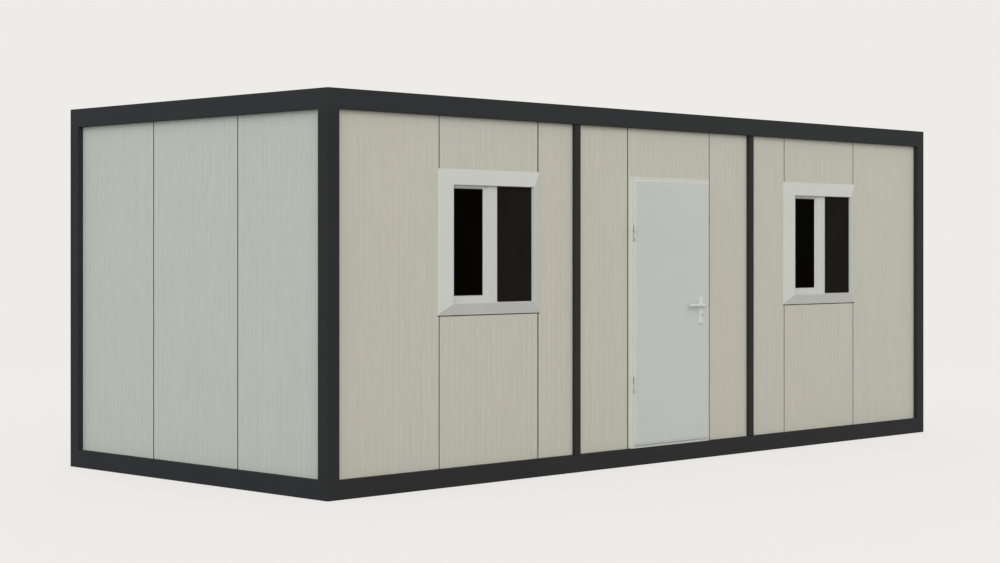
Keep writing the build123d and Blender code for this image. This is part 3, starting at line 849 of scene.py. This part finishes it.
# %% [markdown]
# ### The whole lever
# Both grips are one piece, because one spindle turns both. The second half of the path is a
# mirror image of the first, in the plane of the leaf's middle.

# %% Lever
def lever_hoops(points=32):
    """The oval carried along the half path and its mirror image, at right angles to the path: the
    cosine of a whole turn times the half width, and its sine times the half height."""
    half = lever_path()
    step = np.concatenate([[0], np.cumsum(np.hypot(*np.diff(half, axis=0).T))])
    tangent = np.gradient(half, step, axis=0)
    tangent /= np.linalg.norm(tangent, axis=1)[:, None]
    both = np.concatenate([half, half[-2::-1] * (1, -1) + (0, 2 * leaf_middle)])
    tangent = np.concatenate([tangent, tangent[-2::-1] * (-1, 1)])
    size = lever_size(step)
    size = np.concatenate([size, size[-2::-1]])
    path = side_by_side(both[:, 0], both[:, 1], lever_z)
    side = side_by_side(-tangent[:, 1], tangent[:, 0], 0.0)
    oval = np.stack([np.cos(turned(points)), np.sin(turned(points))], -1)
    return carried(path, side, upward, oval * size[:, None, :])


lever_pair = skinned("lever_pair", lever_hoops()[None], lock_coat, "door_lever",
                     crease=80)
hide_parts("door_levers")

# %% [markdown]
# ## Collars
# A collar covers the hole where the lever's neck enters the plate, and a smaller one guards the
# key cylinder. Each is a small profile turned once round. A torus would be quicker, but a real
# collar has a flat face and a bevelled inner edge.

# %% Collars
plate_low, plate_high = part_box("lock_backplates")
cylinder_z = (cylinder_low[2] + cylinder_high[2]) / 2
lever_collar, cylinder_collar = (0.0112, 0.0165, 0.0060), (0.0087, 0.0125, 0.0036)
rim_round, inner_edge, sunk = 0.0022, 0.0012, -0.0003


def collar_hoops(centre_z, hole, rim, height, face, outward, points=40):
    """A profile turned round the hole: it rises from the rim in a quarter round, runs flat to the
    inner edge and dips into the hole. Its back lies 0.3 mm inside the plate."""
    s = np.linspace(0, np.pi / 2, 7)
    radius = np.concatenate([rim - rim_round * (1 - np.cos(s)),
                             [hole + inner_edge, hole, hole, rim]])
    lift = np.concatenate([height * (0.35 + 0.65 * np.sin(s)),
                           [height, height - inner_edge, sunk, sunk]])
    turn = turned(points)[:, None]
    return side_by_side(spindle_x + np.cos(turn) * radius, face + outward * lift,
                        centre_z + np.sin(turn) * radius)


collars = np.stack([collar_hoops(centre_z, *size, face, outward)
                    for centre_z, size in ((lever_z, lever_collar), (cylinder_z, cylinder_collar))
                    for face, outward in ((plate_low[1], -1), (plate_high[1], 1))])
skinned("lock_collars", collars, lock_coat, "door_leaf", joined=True)

# %% [markdown]
# ## Key slots
# A key slot is a stepped gap, dark with shade. Cutting it into the cylinder would change a solid,
# so it is a thin inlay of that outline whose black is painted shade, and it stands so little proud
# that it reads as a gap.

# %% Key slots
slot_across = np.array([-0.9, 0.5, 0.5, 1.3, 1.3, 0.4, 0.4, -0.6, -0.6, -1.3, -1.3, -0.9]) * 0.001
slot_height = np.array([-4.0, -4.0, -2.0, -1.6, 0.6, 1.0, 4.0, 4.0, 1.8, 1.4, -1.2, -1.6]) * 0.001
slot_depth = np.array([-0.0006, 0.0002])[:, None]


def key_slot_hoops(face, outward):
    """Two hoops of the slot's outline, 8 mm high and under 3 mm wide: one 0.6 mm inside the
    cylinder's face and one 0.2 mm outside it."""
    return side_by_side(spindle_x + slot_across, face + outward * slot_depth,
                        cylinder_z + slot_height)


slots = np.stack([key_slot_hoops(cylinder_low[1], -1), key_slot_hoops(cylinder_high[1], 1)])
# The slots' black is painted shade.
skinned("key_slots", slots, black_rubber_and_slot_shade, "door_leaf")

# %% [markdown]
# ## Roof screws
# Sheet and purlins are held by hexagon screws with a domed washer, one every 36 cm along each
# purlin. Each screw is a stack of rings whose radius and height come from one short profile: a
# washer that slopes up, a flange, and a six-sided head with a rounded top. Over the two middle
# purlins the screws sit on a crown of the ribbed sheet, and elsewhere in its valleys.

# %% Roof screws
sheet_low, sheet_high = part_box("roof_sheet")
sheet_thickness, crown_within, screw_pitch = 0.0015, 0.5, 0.36
screw_x = np.array([-2.6444, -1.8889, -1.1363, -0.366, 0.366, 1.1363, 1.8889, 2.6444])
screw_y = (np.arange(8) - 3.5) * screw_pitch
screw_seat = np.where(np.abs(screw_x) < crown_within, sheet_high[2],
                      sheet_low[2] + sheet_thickness)
ring_radius = np.array([8.5, 8.5, 6.6, 6.2, 6.2, 4.6, 4.6, 4.1, 1.5])[:, None] * 0.001
ring_lift = np.array([-0.3, 0.9, 2.0, 2.0, 2.8, 2.8, 6.6, 7.2, 7.4])[:, None] * 0.001
six_sided = np.array([0, 0, 0, 0, 0, 1, 1, 1, 1])[:, None] == 1


def screw_hoops(points=12):
    """Rings of twelve points. On the head every second point is drawn in by the cosine of 30
    degrees, which turns the ring into a hexagon."""
    flat = np.where(np.arange(points) % 2 == 1, np.cos(np.pi / 6), 1.0)
    radius = ring_radius * np.where(six_sided, flat, 1.0)
    one = side_by_side(radius * np.cos(turned(points)), radius * np.sin(turned(points)), ring_lift)
    seats = side_by_side(screw_x[:, None], screw_y, screw_seat[:, None])
    return one[None] + seats.reshape(-1, 1, 1, 3)


skinned("roof_screws", screw_hoops(), roof_zinc, "cabin", crease=30)

# %% [markdown]
# ## Sky
# The cabin stands on a wide pale floor under an even sky, which lights everything softly. The
# sky has two tones. A neutral one lights the cabin, and a warmer one is shown wherever the sky is
# seen, directly, in a mirror or through glass, so a warm backdrop doesn't tint the walls.

# %% Sky
backdrop_tone = (0.855, 0.839, 0.807)
sky_tone = (0.87, 0.87, 0.87)


def seen_directly(tree):
    """1 for what the camera sees directly, in a mirror or through glass, and 0 for light on
    things."""
    rays = tree.nodes.new("ShaderNodeLightPath")
    seen = work_out(tree, "MAXIMUM", rays.outputs["Is Camera Ray"], rays.outputs["Is Glossy Ray"])
    return work_out(tree, "MAXIMUM", seen, rays.outputs["Is Transmission Ray"])


def blended(tree, share, first, second, end):
    """Shader first where share is 0 and second where it is 1, joined to the end node."""
    blend = tree.nodes.new("ShaderNodeMixShader")
    tree.links.new(share, blend.inputs[0])
    tree.links.new(first.outputs[0], blend.inputs[1])
    tree.links.new(second.outputs[0], blend.inputs[2])
    tree.links.new(blend.outputs[0], tree.nodes[end].inputs["Surface"])


sky = bpy.data.worlds.new("sky")
sky.use_nodes = True
tree = sky.node_tree
lit, shown = tree.nodes["Background"], tree.nodes.new("ShaderNodeBackground")
for light, tone in ((lit, sky_tone), (shown, backdrop_tone)):
    light.inputs["Color"].default_value = (*tone, 1.0)
    light.inputs["Strength"].default_value = 1.0
blended(tree, seen_directly(tree), lit, shown, "World Output")
bpy.context.scene.world = sky
print("sky:", sky_tone, "shown as", backdrop_tone)

# %% [markdown]
# ## Floor
# The floor is one wide face that keeps the soft shadow round the base. It too has two tones: the
# pale one is seen, and a grey one throws light up at the cabin, or the walls would be lit too
# strongly from below. Up to 7 metres out four fifths of what is seen is the backdrop's own tone,
# and from 14 metres on all of it is, so no horizon shows.

# %% Floor
floor_half = 90.0
floor_pale = (0.800, 0.785, 0.755)
floor_bounce = (0.36, 0.36, 0.36)
fade_ring = (7.0, 14.0)

floor_corners = floor_half * np.array([(-1, -1, 0), (1, -1, 0), (1, 1, 0), (-1, 1, 0)])
ground = bpy.data.meshes.new("ground")
ground.from_pydata(floor_corners.tolist(), [], [(0, 1, 2, 3)])
floor = bpy.data.objects.new("ground", ground)
bpy.context.scene.collection.objects.link(floor)

floor_finish, tree, shader, place = begin("floor_finish", floor_pale, 0.9)
shader.inputs["Specular IOR Level"].default_value = 0.0
dust = noise(tree, place, (0.8, 0.8, 0.8), 3.0)
tone = mixed(tree, spread(tree, dust, 0.0, 1.0), shade(floor_pale, 0.997), shade(floor_pale, 1.003))
tree.links.new(mixed(tree, seen_directly(tree), floor_bounce, tone), shader.inputs["Base Color"])
raised(tree, shader, (dust, 0.0005))
plain = tree.nodes.new("ShaderNodeEmission")
plain.inputs["Color"].default_value = (*backdrop_tone, 1.0)
away = tree.nodes.new("ShaderNodeVectorMath")
away.operation = "LENGTH"
tree.links.new(place, away.inputs[0])
share = spread(tree, away.outputs["Value"], 0.8, 1.0, fade_ring)
share = work_out(tree, "MULTIPLY", share, seen_directly(tree))
blended(tree, share, shader, plain, "Material Output")
ground.materials.append(floor_finish)
print("floor:", 2 * floor_half, "m wide")

# %% [markdown]
# ## Lamps
# One broad lamp comes from the front left, a weak cool one faces the short wall, and a weak one
# keeps the far walls from going dull. They are sun lamps, because a lamp that stands near would
# light one end of a seven metre wall more than the other.

# %% Lamps
def broad_lamp(name, direction, strength, colour, spread_angle):
    """A lamp far away that shines along -direction, so direction points at the lamp. Its energy
    is pi times strength, at which a white face turned to it looks as bright as strength."""
    lamp = bpy.data.lights.new(name, "SUN")
    lamp.energy = strength * np.pi
    lamp.color = colour
    lamp.angle = np.radians(spread_angle)
    holder = bpy.data.objects.new(name, lamp)
    toward = np.array(direction, float) / np.linalg.norm(direction)
    tilt, heading = np.arccos(toward[2]), np.arctan2(toward[1], toward[0]) + np.pi / 2
    holder.rotation_euler = (tilt, 0.0, heading)
    bpy.context.scene.collection.objects.link(holder)
    print("lamp:", name, "strength", strength)


broad_lamp("main_lamp", (-0.27, -0.36, 0.15), 0.502, (1.0, 0.985, 0.98), 45)
broad_lamp("end_lamp", (-1.0, -0.12, 0.12), 0.344, (0.297, 0.658, 1.0), 60)
broad_lamp("back_lamp", (0.5, 0.6, 0.3), 0.25, (1.0, 0.98, 0.95), 60)
